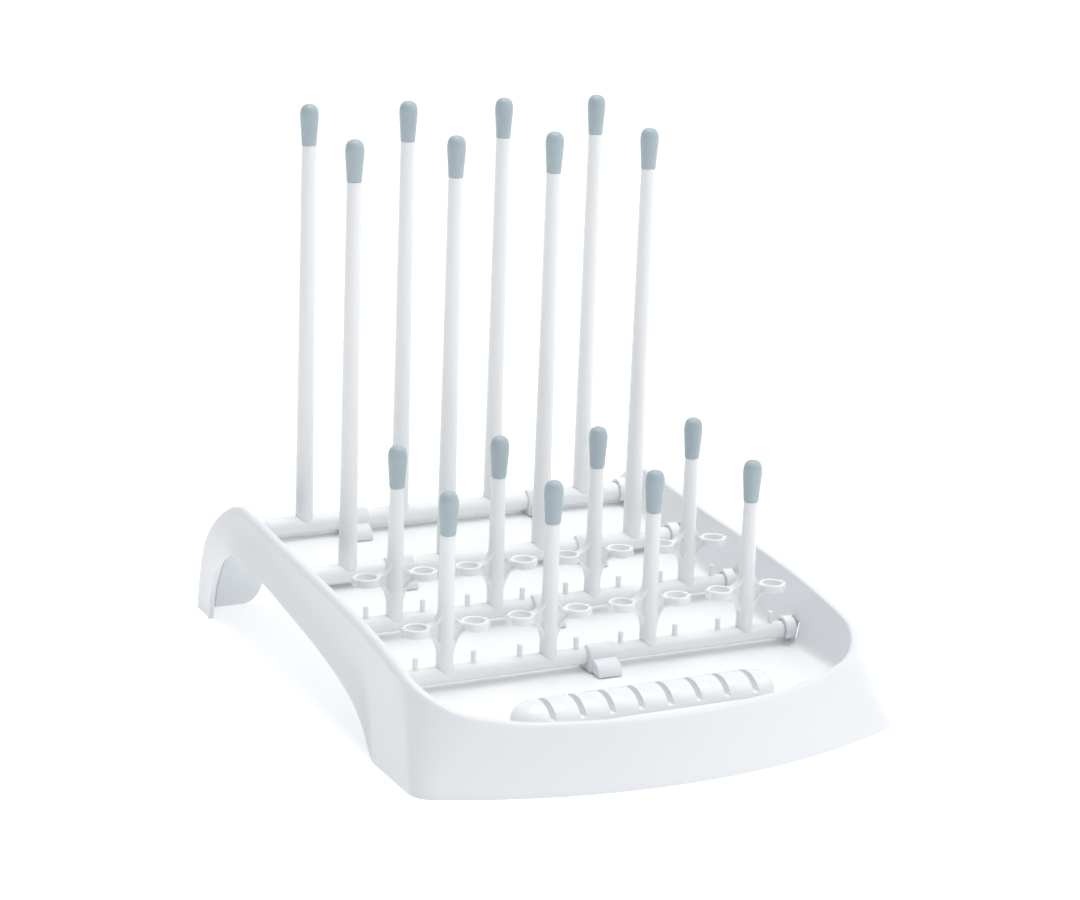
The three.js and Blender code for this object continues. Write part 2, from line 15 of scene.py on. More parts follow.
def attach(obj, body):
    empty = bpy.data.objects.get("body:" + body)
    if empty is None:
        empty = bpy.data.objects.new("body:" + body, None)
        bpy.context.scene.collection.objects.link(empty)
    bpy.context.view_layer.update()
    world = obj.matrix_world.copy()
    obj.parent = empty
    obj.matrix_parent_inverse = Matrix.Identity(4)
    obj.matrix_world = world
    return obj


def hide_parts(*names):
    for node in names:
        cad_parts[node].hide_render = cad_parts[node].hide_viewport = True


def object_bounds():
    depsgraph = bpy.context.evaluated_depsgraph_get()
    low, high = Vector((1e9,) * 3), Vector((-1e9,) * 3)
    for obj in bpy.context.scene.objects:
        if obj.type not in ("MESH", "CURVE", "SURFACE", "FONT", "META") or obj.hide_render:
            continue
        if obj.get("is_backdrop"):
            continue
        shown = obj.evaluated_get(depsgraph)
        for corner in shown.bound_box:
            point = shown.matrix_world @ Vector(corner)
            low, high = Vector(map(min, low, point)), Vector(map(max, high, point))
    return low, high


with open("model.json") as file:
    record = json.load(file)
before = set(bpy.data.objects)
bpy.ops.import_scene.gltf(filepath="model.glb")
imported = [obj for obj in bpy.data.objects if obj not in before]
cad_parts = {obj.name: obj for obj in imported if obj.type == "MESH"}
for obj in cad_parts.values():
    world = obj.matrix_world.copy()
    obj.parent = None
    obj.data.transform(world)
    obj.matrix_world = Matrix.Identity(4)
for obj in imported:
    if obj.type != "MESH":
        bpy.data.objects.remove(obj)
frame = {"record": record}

bl_info = {
    "name": "Bottle Drying Rack",
    "version": (1, 0, 0),
    "blender": (4, 5, 0),
    "location": "3D View > Sidebar > Drying Rack",
    "description": "Builds a bottle drying rack piece by piece around its packed frame",
    "category": "Object",
}

MM = 0.001

# ---- sizes shared by the pieces, in millimetres -------------------------------------------
PITCH = 60
COLUMNS = [PITCH * step for step in (-1.5, -0.5, 0.5, 1.5)]
RAILS = {
    "front_rail": {"y": -65, "z": 31.8, "tall": False, "saddles": (0,)},
    "second_rail": {"y": 0, "z": 39.3, "tall": False, "saddles": (0,)},
    "third_rail": {"y": 65, "z": 47.6, "tall": True, "saddles": (-PITCH, PITCH)},
    "rear_rail": {"y": 130, "z": 57.5, "tall": True, "saddles": (-PITCH, PITCH)},
}
BAR_RADIUS = {False: 4.7, True: 5.6}  # by tall
BAR_HALF_LENGTH = 120
BAR_END_ROUNDING = 1.2
PIN_RADIUS = 1.45
PIN_HEIGHT = 6.4

SHORT_TOP = 98.7
TALL_TOP = 243
SHORT_FOOT, SHORT_NECK = 4.6, 3.9
TALL_FOOT, TALL_NECK = 5.2, 4.1
FOOT_HEIGHT = 12
STUD_RADIUS = 2.1
STUD_LENGTH = 12
PEG_GRAIN = 0.42  # size of the steps in which a ringed peg is grown together
CAP_LENGTH = 22.6
CAP_GAP = 0.3
FOOT_GAP = 0.2

RING_OFFSET = 16.6
RING_TOP = 27.7
RING_HEIGHT = 4.6
SLIT = 1.6
LIP_LENGTH = 0.9
LIP_THICKNESS = 1.5
STRIP_WIDTH = 5.2
STRIP_THICKNESS = 1.4
STRIP_REACH = 7.2
UPPER_STRIP_RISE = 10.5
LOWER_STRIP_DROP = 17.9
WEB_THICKNESS = 1.8

RIM_HALF_WIDTH = 127
EDGE_HALF_WIDTH = 141
RIM_FRONT = {"half_width": RIM_HALF_WIDTH, "front": -156, "bow": 280, "corner": 34}
EDGE_FRONT = {"half_width": EDGE_HALF_WIDTH, "front": -175, "bow": 332, "corner": 14}
INNER_DRAFT = 0.25
RIM_REACH = 6
# The rolled rim, from the skirt's top over the crest to the inner lip.
ROLL_DROP = 4
ROLL_RISE = 0.5
ROLL_WIDTH = 3.6
INNER_LIP = 1.1
FILLET_PULL = 0.55  # length of a fillet's handles, as a share of its radius
LEG_FLARE = 7
SKIRT_HOLLOW = 0.8
PANEL_EDGE = 112
# Heights along the side, as (y, z).
RIM_HEIGHTS = (
    (-156, 31.5), (-145, 32.3), (-135, 36.3), (-125, 41.6), (-110, 47.8), (-85, 53.6),
    (-50, 59), (0, 63.6), (60, 67.8), (100, 71.2), (124, 72.6),
)
EDGE_HEIGHTS = (
    (-180, 0), (-92, 0), (-86, 4.5), (-79, 12.5), (-68, 20.8), (-53, 27), (-37, 31.5),
    (-16, 36), (20, 41.7), (65, 47.6), (97, 50.2),
)
FLOOR_HEIGHTS = (
    (-160, 22), (-100, 22.4), (-65, 24.2), (0, 31.2), (65, 40.6), (124, 49.5),
    (132, 50.4), (145, 50.4),
)
# The rear leg from the hump to the ground, as (y, z).
LEG_RIM = (
    (124, 72.6), (137, 69.6), (149, 61.4), (159, 49.2), (166.5, 34.2), (171.5, 17), (174.5, 0),
)
LEG_EDGE = ((97, 50.2), (112.5, 48.8), (124, 45), (133.5, 38), (141, 27.5), (147, 15), (149, 0))
LEG_PANEL = (
    (124, 49.5), (131.5, 50.4), (140, 49), (150.5, 43), (161, 31), (167.8, 16.2), (170.8, 0),
)
ARCH_HALF_WIDTH = 103
ARCH_TOP = 31
ARCH_CORNER = 24
ARCH_FOOT_TOP = 16
HAIR = 1e-6  # a floor this close under the arch's top still counts as level with it

RIDGE_Y = -118
RIDGE_HALF_LENGTH = 76
RIDGE_HALF_WIDTH = 13
RIDGE_TOP = 32
RIDGE_SLOTS = 8
RIDGE_SLOT_PITCH = 16.9
RIDGE_SLOT_WIDTH = 3.3
RIDGE_SLOT_FLOOR = 24.5

CLIP_GAP = 0.4
CLIP_WALL = 2
CLIP_INNER_X = 114
CLIP_LENGTH = 6.2
CLIP_ARM = 13.5
HOOK_ARC = (10, 215, 40)  # start and end in degrees, and steps
ARM_ARC = (-20, 80, 18)
WINDOW_X = 122
WINDOW_DEPTH = 14
SADDLE_GAP = 0.12
SADDLE_WIDTH = 16.5
SADDLE_DEPTH = 15
SADDLE_TOE = 8


# ---- curves and profiles -------------------------------------------------------------------
def blend(a, b, share):
    return a + (b - a) * share


def smooth_height(table, y):
    """Height at y on a smooth curve through the table that never overshoots."""
    last = len(table) - 1
    if y >= table[last][0]:
        return table[last][1]
    i = max(1, next(k for k in range(last + 1) if table[k][0] >= y))

    def slope(k):
        return (table[k + 1][1] - table[k][1]) / (table[k + 1][0] - table[k][0])

    def tangent(k):
        if k == 0:
            return slope(0)
        if k == last:
            return slope(k - 1)
        before, after = slope(k - 1), slope(k)
        return 0 if before * after <= 0 else 2 * before * after / (before + after)

    span = table[i][0] - table[i - 1][0]
    t = min(max((y - table[i - 1][0]) / span, 0), 1)
    rise = t * t * (3 - 2 * t)
    bend = t * (1 - t) * ((1 - t) * tangent(i - 1) - t * tangent(i))
    return blend(table[i - 1][1], table[i][1], rise) + span * bend


def through(points, t):
    """A point on the rounded curve through evenly weighted points, t from 0 to 1."""
    last = len(points) - 1
    place = t * last
    i = min(int(place), last - 1)
    w = place - i
    p = [points[min(max(i + k, 0), last)] for k in (-1, 0, 1, 2)]

    def axis(k):
        a, b, c, d = (q[k] for q in p)
        v0, v1 = (c - a) / 2, (d - b) / 2
        return (2 * b - 2 * c + v0 + v1) * w ** 3 + (3 * c - 3 * b - 2 * v0 - v1) * w * w + v0 * w + b

    return axis(0), axis(1)


def arc(centre, radius, start, end, steps, tall=None):
    """Points round an arc, or round an ellipse with its own upright radius, angles in degrees."""
    upright = radius if tall is None else tall
    angles = [math.radians(blend(start, end, i / steps)) for i in range(steps + 1)]
    return [(centre[0] + radius * math.cos(a), centre[1] + upright * math.sin(a)) for a in angles]


def bezier(a, b, c, d, steps):
    """Points on a curve from a to d, without a itself."""
    points = []
    for i in range(1, steps + 1):
        t = i / steps
        u = 1 - t
        w = (u ** 3, 3 * u * u * t, 3 * u * t * t, t ** 3)
        points.append(tuple(sum(k * q[n] for k, q in zip(w, (a, b, c, d))) for n in (0, 1)))
    return points


# ---- meshes --------------------------------------------------------------------------------
def mesh_of(name, points, faces, merge=0.002):
    """A mesh in metres from points in millimetres, joined up and facing outwards."""
    mesh = bpy.data.meshes.new(name)
    mesh.from_pydata([(x * MM, y * MM, z * MM) for x, y, z in points], [], faces)
    work = bmesh.new()
    work.from_mesh(mesh)
    bmesh.ops.remove_doubles(work, verts=work.verts, dist=merge * MM)
    bmesh.ops.dissolve_degenerate(work, edges=work.edges, dist=merge * MM)
    bmesh.ops.recalc_face_normals(work, faces=work.faces)
    work.to_mesh(mesh)
    work.free()
    return mesh


def prism(name, outline, depth, axis, middle=0):
    """An outline drawn out along an axis, centred on it at middle."""
    count = len(outline)
    ends = (middle - depth / 2, middle + depth / 2)
    order = {"X": (2, 0, 1), "Y": (0, 2, 1), "Z": (0, 1, 2)}[axis]
    placed = [(u, v, end) for end in ends for u, v in outline]
    points = [tuple(point[k] for k in order) for point in placed]
    faces = [(i, (i + 1) % count, (i + 1) % count + count, i + count) for i in range(count)]
    faces += [tuple(range(count)), tuple(range(2 * count - 1, count - 1, -1))]
    return mesh_of(name, points, faces)


def turned(name, profile, segments, axis="Z"):
    """A profile of (radius, height) turned round an axis, from axis to axis."""
    points, faces = [], []
    count = len(profile)
    for s in range(segments):
        a = 2 * math.pi * s / segments
        for r, h in profile:
            across, along = r * math.cos(a), r * math.sin(a)
            points.append((h, across, along) if axis == "X" else (across, along, h))
    for s in range(segments):
        t = (s + 1) % segments
        for k in range(count - 1):
            faces.append((s * count + k, t * count + k, t * count + k + 1, s * count + k + 1))
    return mesh_of(name, points, faces)


def rod(radius, half_length):
    """The profile of a plain rod, to be turned."""
    return [(0, -half_length), (radius, -half_length), (radius, half_length), (0, half_length)]


def rounded(profile, radius, steps=3):
    """A profile whose inner corners are rounded, apart from its first and last point."""
    made = [profile[0]]
    for before, corner, after in zip(profile, profile[1:], profile[2:]):
        b, c, a = (Vector((*p, 0)) for p in (before, corner, after))
        reach = min(radius, (b - c).length * 0.45, (a - c).length * 0.45)
        start, end = c + (b - c).normalized() * reach, c + (a - c).normalized() * reach
        for i in range(steps + 1):
            t = i / steps
            q = start.lerp(c, t).lerp(c.lerp(end, t), t)
            made.append((q.x, q.y))
    made.append(profile[-1])
    return made


def worked(mesh, *steps):
    """The mesh after a chain of modifiers, each a type with its settings."""
    holder = bpy.data.objects.new("work", mesh)
    bpy.context.scene.collection.objects.link(holder)
    for kind, settings in steps:
        step = holder.modifiers.new(kind, kind)
        for key, value in settings.items():
            setattr(step, key, value)
    graph = bpy.context.evaluated_depsgraph_get()
    made = bpy.data.meshes.new_from_object(holder.evaluated_get(graph))
    bpy.data.objects.remove(holder)
    return made


def combined(mesh, other, operation):
    """Union, difference or intersection of two closed meshes."""
    tool = bpy.data.objects.new("tool", other)
    bpy.context.scene.collection.objects.link(tool)
    made = worked(mesh, ("BOOLEAN", {"object": tool, "operation": operation, "solver": "EXACT"}))
    bpy.data.objects.remove(tool)
    return made


def gathered(name, meshes):
    """Several meshes in one."""
    work = bmesh.new()
    for mesh in meshes:
        work.from_mesh(mesh)
    made = bpy.data.meshes.new(name)
    work.to_mesh(made)
    work.free()
    return made


def shifted(mesh, x, y, z, mirror=False):
    moved = mesh.copy()
    moved.transform(Matrix.Translation(Vector((x, y, z)) * MM))
    if mirror:
        moved.transform(Matrix.Scale(-1, 4, (1, 0, 0)))
        moved.flip_normals()
    return moved


def bevelled(mesh, width, angle=35, segments=2):
    settings = {"width": width * MM, "segments": segments, "limit_method": "ANGLE",
                "angle_limit": math.radians(angle), "use_clamp_overlap": True}
    return worked(mesh, ("BEVEL", settings))


def piece(name, mesh, material, body, nodes, place=(0, 0, 0), crease=32):
    """A finished piece that rides on a body and stands for its nodes."""
    mesh.name = name
    mesh.shade_smooth()
    mesh.set_sharp_from_angle(angle=math.radians(crease))
    mesh.materials.clear()
    mesh.materials.append(material)
    made = bpy.data.objects.new(name, mesh)
    bpy.context.scene.collection.objects.link(made)
    made.location = Vector(place) * MM
    bpy.context.view_layer.update()
    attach(made, body)
    if nodes:
        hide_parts(*nodes)
    return made


# ---- finishes ------------------------------------------------------------------------------
class Flow:
    """One socket of a finish; arithmetic on it adds Math nodes."""

    def __init__(self, finish, socket):
        self.finish = finish
        self.socket = socket

    def _math(self, operation, a, b):
        return self.finish.node("ShaderNodeMath", {"operation": operation}, {0: a, 1: b})

    def __add__(self, other):
        return self._math("ADD", self, other)

    def __radd__(self, other):
        return self._math("ADD", other, self)

    def __sub__(self, other):
        return self._math("SUBTRACT", self, other)

    def __rsub__(self, other):
        return self._math("SUBTRACT", other, self)

    def __mul__(self, other):
        return self._math("MULTIPLY", self, other)

    def __rmul__(self, other):
        return self._math("MULTIPLY", other, self)


class Finish:
    """A material and its node tree."""

    def __init__(self, name):
        self.wire(bpy.data.materials.new(name), "Principled BSDF")

    def wire(self, material, shader):
        """Takes over the node tree of a material or a world."""
        self.material = material
        self.material.use_nodes = True
        self.tree = self.material.node_tree
        self.shader = self.tree.nodes[shader]

    def node(self, kind, settings=None, inputs=None, output=0):
        """Adds a node: its settings first, then the values or links of its sockets."""
        made = self.tree.nodes.new(kind)
        for key, value in (settings or {}).items():
            setattr(made, key, value)
        for key, value in (inputs or {}).items():
            self.feed(made.inputs[key], value)
        return Flow(self, made.outputs[output])

    def feed(self, socket, value):
        if isinstance(value, Flow):
            self.tree.links.new(value.socket, socket)
        else:
            socket.default_value = value

    def place(self):
        """Where a point of the piece is, in its own axes."""
        return self.node("ShaderNodeTexCoord", output="Object")

    def axis(self, vector, name):
        return self.node("ShaderNodeSeparateXYZ", inputs={0: vector}, output=name)

    def grain(self, scale, detail=2, roughness=0.5):
        """Even noise from 0 to 1 at so many waves to the metre."""
        inputs = {"Vector": self.place(), "Scale": scale, "Detail": detail, "Roughness": roughness}
        return self.node("ShaderNodeTexNoise", inputs=inputs, output="Fac")

    def ramp(self, value, low, high):
        """The value's span low to high, spread smoothly over 0 to 1."""
        settings = {"interpolation_type": "SMOOTHSTEP"}
        inputs = {"Value": value, "From Min": low, "From Max": high}
        return self.node("ShaderNodeMapRange", settings, inputs)

    def mix(self, share, first, second):
        """Two colours mixed by a share."""
        settings = {"data_type": "RGBA"}
        return self.node("ShaderNodeMix", settings, {"Factor": share, 6: first, 7: second}, output=2)

    def bump(self, height, strength, distance):
        inputs = {"Strength": strength, "Distance": distance * MM, "Height": height}
        return self.node("ShaderNodeBump", inputs=inputs)

    def set(self, **values):
        """Feeds the shader's sockets, named with underscores."""
        for key, value in values.items():
            self.feed(self.shader.inputs[key.replace("_", " ")], value)
        return self.material


class Surround(Finish):
    """The light all round, through its own node tree."""

    def __init__(self, name):
        self.wire(bpy.data.worlds.new(name), "Background")


def rgba(colour, gain=1.0):
    return tuple(min(1.0, c * gain) for c in colour) + (1.0,)


# ---- settings a user would change ------------------------------------------------------------
def record_colour(slot):
    return next(tuple(m["base_color"]) for m in frame["record"]["materials"] if m["slot"] == slot)


class DripTraySettings(bpy.types.PropertyGroup):
    """Sizes and finish of the moulded drip tray"""

    colour: FloatVectorProperty(
        name="Wall colour", description="White of the skirt, the rim and the saddles",
        subtype="COLOR", size=3, min=0, max=1, default=(0.825, 0.848, 0.872))
    # Painted light: this lighter white of the drip floor, set against the walls' darker white of the same
    # moulding, stands in for the brighter light on the floor.
    floor_colour: FloatVectorProperty(
        name="Floor colour", description="White of the drip floor", subtype="COLOR", size=3,
        min=0, max=1, default=(0.93, 0.94, 0.953))
    roughness: FloatProperty(
        name="Wall roughness", description="Satin of the skirt and the rim", subtype="FACTOR",
        min=0, max=1, default=0.33)
    floor_roughness: FloatProperty(
        name="Floor roughness", description="Gloss of the drip floor", subtype="FACTOR",
        min=0, max=1, default=0.09)
    wall: FloatProperty(
        name="Wall", description="Thickness of the moulding", unit="LENGTH",
        min=0.0015, max=0.004, default=0.003)
    floor_fillet: FloatProperty(
        name="Floor fillet", description="Radius between the floor and the inner wall",
        unit="LENGTH", min=0.002, max=0.008, default=0.006)
    edge_rounding: FloatProperty(
        name="Edge rounding", description="Rounding of the skirt's free edge", unit="LENGTH",
        min=0.0001, max=0.001, default=0.0006)


class RailSettings(bpy.types.PropertyGroup):
    """Sizes and finish of the bars and pegs"""

    colour: FloatVectorProperty(
        name="Rail colour", description="White of the bars and pegs", subtype="COLOR", size=3,
        min=0, max=1, default=(0.885, 0.90, 0.912))
    roughness: FloatProperty(
        name="Roughness", description="Satin of the bars and pegs", subtype="FACTOR",
        min=0, max=1, default=0.36)
    ring_outer: FloatProperty(
        name="Ring outside radius", description="Outside radius of a ring holder", unit="LENGTH",
        min=0.0065, max=0.008, default=0.0071)
    ring_bore: FloatProperty(
        name="Ring bore radius", description="Bore radius of a ring holder", unit="LENGTH",
        min=0.0045, max=0.006, default=0.0054)
    peg_segments: IntProperty(
        name="Peg segments", description="Facets round a peg", min=24, max=96, default=56)


class SoftCapSettings(bpy.types.PropertyGroup):
    """Sizes and finish of the soft caps"""

    colour: FloatVectorProperty(
        name="Cap colour", description="Grey-blue of the soft caps", subtype="COLOR", size=3,
        min=0, max=1, default=record_colour("tip_blue"))
    roughness: FloatProperty(
        name="Roughness", description="Softness of the caps' highlights", subtype="FACTOR",
        min=0, max=1, default=0.30)
    radius: FloatProperty(
        name="Cap radius", description="Largest radius, near the top", unit="LENGTH",
        min=0.0045, max=0.0055, default=0.0052)


class StageSettings(bpy.types.PropertyGroup):
    """Floor and light"""

    floor_colour: FloatVectorProperty(
        name="Floor colour", description="Pale floor under the rack", subtype="COLOR", size=3,
        min=0, max=1, default=(0.92, 0.925, 0.93))
    floor_glow: FloatProperty(
        name="Floor glow", description="Light the floor adds, as a light table does", min=0,
        max=1, default=0.38)
    surround: FloatProperty(
        name="Surround", description="Strength of the light from above and the right", min=0,
        max=2, default=0.84)
    dim_side: FloatProperty(
        name="Dim side", description="Share of that strength at the front left", min=0, max=1,
        default=0.02)
    key_power: FloatProperty(
        name="Key light", description="Power of the large light at the front right", min=0,
        max=200, unit="POWER", default=3.6)
    top_power: FloatProperty(
        name="Top light", description="Power of the large light overhead", min=0, max=200,
        unit="POWER", default=14.5)


class DryingRackSettings(bpy.types.PropertyGroup):
    """All settings of the rack"""

    tray: PointerProperty(type=DripTraySettings)
    rails: PointerProperty(type=RailSettings)
    caps: PointerProperty(type=SoftCapSettings)
    stage: PointerProperty(type=StageSettings)


# ---- drip tray -------------------------------------------------------------------------------
FRONT_STEPS = 24
CORNER_STEPS = 16
SIDE_RUNS = ((-95, 9), (-52, 30), (97, 36))  # free edge's y and steps up to it
LEG_STEPS = 48
SKIRT_STEPS = 10
ARCH_COLUMNS = 18  # floor columns outside the arch's straight top
MIDDLE_COLUMNS = FRONT_STEPS + CORNER_STEPS - ARCH_COLUMNS
FRONT_FLOOR_ROWS = 10
LEAST_TRAY_FACES = 1000


def front_outline(half_width, front, bow, corner):
    """Half of a bowed front with a round corner, as (x, y, angle of the outward normal)."""
    centre_y = front + bow
    corner_x = half_width - corner
    reach = bow - corner
    corner_y = centre_y - math.sqrt(reach * reach - corner_x * corner_x)
    turn = math.asin(corner_x / reach)
    made = []
    for i in range(FRONT_STEPS):
        a = turn * i / FRONT_STEPS
        made.append((bow * math.sin(a), centre_y - bow * math.cos(a), a))
    for i in range(CORNER_STEPS + 1):
        a = blend(turn, math.pi / 2, i / CORNER_STEPS)
        made.append((corner_x + corner * math.sin(a), corner_y - corner * math.cos(a), a))
    return made


class Station:
    """One section across the tray's wall: the rim's inner line, the free edge, and the
    directions outward and up, the depth down to the floor and the rim's width."""

    def __init__(self, rim, edge, out, up, depth, reach=RIM_REACH):
        self.rim, self.edge, self.out, self.up = rim, edge, out, up
        self.depth, self.reach = depth, reach

    def at(self, across, above):
        return self.rim + self.out * across + self.up * above


def tray_stations():
    rims = front_outline(**RIM_FRONT)
    edges = front_outline(**EDGE_FRONT)
    rim_start, edge_start = rims[-1][1], edges[-1][1]
    rim_end, edge_end = LEG_RIM[0][0], LEG_EDGE[0][0]
    y = edge_start
    for end, steps in SIDE_RUNS:
        start = y
        for i in range(1, steps + 1):
            y = blend(start, end, i / steps)
            share = (y - edge_start) / (edge_end - edge_start)
            edges.append((EDGE_HALF_WIDTH, y, 0))
            rims.append((RIM_HALF_WIDTH, blend(rim_start, rim_end, share), math.pi / 2))
    stations = []
    up = Vector((0, 0, 1))
    for (x, y, a), (edge_x, edge_y, _) in zip(rims[:-1], edges[:-1]):
        z = smooth_height(RIM_HEIGHTS, y)
        edge = Vector((edge_x, edge_y, smooth_height(EDGE_HEIGHTS, edge_y)))
        out = Vector((math.sin(a), -math.cos(a), 0))
        stations.append(Station(Vector((x, y, z)), edge, out, up, z - smooth_height(FLOOR_HEIGHTS, y)))
    for i in range(LEG_STEPS + 1):
        rim, edge, panel = (through(curve, i / LEG_STEPS) for curve in (LEG_RIM, LEG_EDGE, LEG_PANEL))
        slant = Vector((0, rim[0] - panel[0], rim[1] - panel[1]))
        share = min(i / LEG_STEPS / 0.6, 1)
        reach = RIM_REACH + LEG_FLARE * share * share * (3 - 2 * share)
        stations.append(Station(
            Vector((RIM_HALF_WIDTH, *rim)), Vector((EDGE_HALF_WIDTH, *edge)), Vector((1, 0, 0)),
            slant.normalized(), slant.length, reach))
    return stations


def wall_section(station, wall, fillet_radius):
    """Points from the free edge over the rim to the floor's border, shown side and hidden
    side in pairs."""
    depth, reach, at = station.depth, station.reach, station.at
    fillet = min(fillet_radius, 0.6 * depth)
    foot = -INNER_DRAFT * (depth - fillet)
    top = at(reach, -ROLL_DROP)
    shown, hidden = [], []
    apex_drop = min(6, depth + wall - 0.5)
    apex = (wall + 0.3, -apex_drop - 0.5)
    inner_edge = station.edge - station.out * wall
    inner_top = at(apex[0] + 0.5, apex[1])
    for i in range(SKIRT_STEPS + 1):
        share = 1 - i / SKIRT_STEPS
        shown.append(top.lerp(station.edge, share) - station.out * SKIRT_HOLLOW * math.sin(math.pi * share))
        hidden.append(inner_top.lerp(inner_edge, share))
    lean = (shown[-2] - shown[-1]).normalized()
    lean = (lean.dot(station.out), lean.dot(station.up))
    crest = reach - ROLL_WIDTH
    leaving = (reach - 2.4 * lean[0], -ROLL_DROP - 2.4 * lean[1])
    over = (crest, ROLL_RISE)
    roll = bezier((reach, -ROLL_DROP), leaving, (reach - 1.4, ROLL_RISE), over, 9)
    roll += bezier(over, (0.4 * crest, ROLL_RISE), (0.05, 0.25), (0, -INNER_LIP), 5)
    for i, (across, above) in enumerate(roll):
        shown.append(at(across, above))
        a = math.pi * (i + 1) / len(roll)
        hidden.append(at(apex[0] + 0.5 * math.cos(a), apex[1] + 0.5 * math.sin(a)))
    down = [(blend(0, foot, t), blend(-INNER_LIP, fillet - depth, t)) for t in (0.33, 0.67, 1)]
    slope = Vector((-INNER_DRAFT, -1)).normalized() * FILLET_PULL * fillet
    border = (foot - fillet, -depth)
    leaving = (foot + slope.x, fillet - depth + slope.y)
    landing = (border[0] + FILLET_PULL * fillet, -depth)
    curve = bezier(down[-1], leaving, landing, border, 8)
    below = (foot + 0.6 * wall, -depth - wall)
    for i, (across, above) in enumerate(down):
        shown.append(at(across, above))
        t = (i + 1) / len(down)
        hidden.append(at(blend(apex[0] - 0.5, below[0], t), blend(apex[1], below[1], t)))
    for i, (across, above) in enumerate(curve):
        shown.append(at(across, above))
        hidden.append(at(blend(below[0], border[0], (i + 1) / len(curve)), -depth - wall))
    return shown, hidden


def arch_side(z):
    """Half width of the arch between the rear legs at a height, wider at its foot, where the
    panel's lower corners are round."""
    if z >= ARCH_TOP:
        return 0

    def side(height):
        above = max(height - ARCH_TOP + ARCH_CORNER, 0)
        return ARCH_HALF_WIDTH - ARCH_CORNER + math.sqrt(ARCH_CORNER ** 2 - above ** 2)

    if z >= ARCH_FOOT_TOP:
        return side(z)
    drop = min((ARCH_FOOT_TOP - z) / ARCH_FOOT_TOP, 1)
    return blend(side(ARCH_FOOT_TOP), PANEL_EDGE, 1 - math.sqrt(1 - drop * drop))


def floor_columns(border, inner=0.0):
    """Places across the floor from its border to the middle, or to the arch."""
    bend = ARCH_HALF_WIDTH - ARCH_CORNER
    if inner:
        return [blend(border, inner, i / ARCH_COLUMNS) for i in range(1, ARCH_COLUMNS + 1)]
    outer = [blend(border, bend, i / ARCH_COLUMNS) for i in range(1, ARCH_COLUMNS + 1)]
    return outer + [blend(bend, 0, i / MIDDLE_COLUMNS) for i in range(1, MIDDLE_COLUMNS + 1)]


def tray_shell(wall, fillet):
    """The tray as one closed skin: shown side, hidden side and the edges between them."""
    stations = tray_stations()
    points, faces = [], []
    front = FRONT_STEPS + CORNER_STEPS
    rows = []
    for number, station in enumerate(stations):
        shown, hidden = wall_section(station, wall, fillet)
        if number >= front:
            border, under = shown[-1], hidden[-1]
            leg = border.z < ARCH_TOP - HAIR and station.rim.y > LEG_RIM[0][0]
            arch = arch_side(border.z) if leg else 0
            for x in floor_columns(border.x, arch):
                shown.append(Vector((x, border.y, border.z)))
                hidden.append(Vector((x, under.y, under.z)))
        rows.append((shown, hidden))
    corner_row = rows[front]
    width = len(rows[0][0])
    for number in range(front):
        shown, hidden = rows[number]
        for side, goal in ((shown, corner_row[0]), (hidden, corner_row[1])):
            start, end = side[-1], goal[width - 1 + front - number]
            for i in range(1, FRONT_FLOOR_ROWS + 1):
                side.append(start.lerp(end, i / FRONT_FLOOR_ROWS))
    # The corner's station has no floor of its own in the front patch: its border is the pole.
    index = []
    for shown, hidden in rows:
        index.append((len(points), len(points) + len(shown)))
        points.extend(shown + hidden)

    def quad(side, a, b, k):
        first, second = index[a][side] + k, index[b][side] + k
        faces.append((first, second, second + 1, first + 1))

    def bridge(a, j, b, k):
        faces.append((index[a][0] + j, index[b][0] + k, index[b][1] + k, index[a][1] + j))

    for number in range(len(rows) - 1):
        lengths = len(rows[number][0]), len(rows[number + 1][0])
        shared = min(lengths)
        if number + 1 == front:
            shared = width
        for side in (0, 1):
            for k in range(shared - 1):
                quad(side, number, number + 1, k)
            if number + 1 == front:
                pole = index[front][side] + width - 1
                for k in range(width - 1, lengths[0] - 1):
                    first = index[number][side] + k
                    faces.append((first, pole, first + 1))
        bridge(number, 0, number + 1, 0)
        if number >= front and lengths[1] < width + front:
            bridge(number, lengths[1] - 1, number + 1, lengths[1] - 1)
            if lengths[0] > lengths[1]:
                for k in range(lengths[1] - 1, lengths[0] - 1):
                    bridge(number, k, number, k + 1)
    for k in range(len(rows[-1][0]) - 1):
        bridge(len(rows) - 1, k, len(rows) - 1, k + 1)
    count = len(points)
    points += [Vector((-p.x, p.y, p.z)) for p in points]
    faces += [tuple(i + count for i in reversed(face)) for face in faces]
    return mesh_of("drip_tray", points, faces)


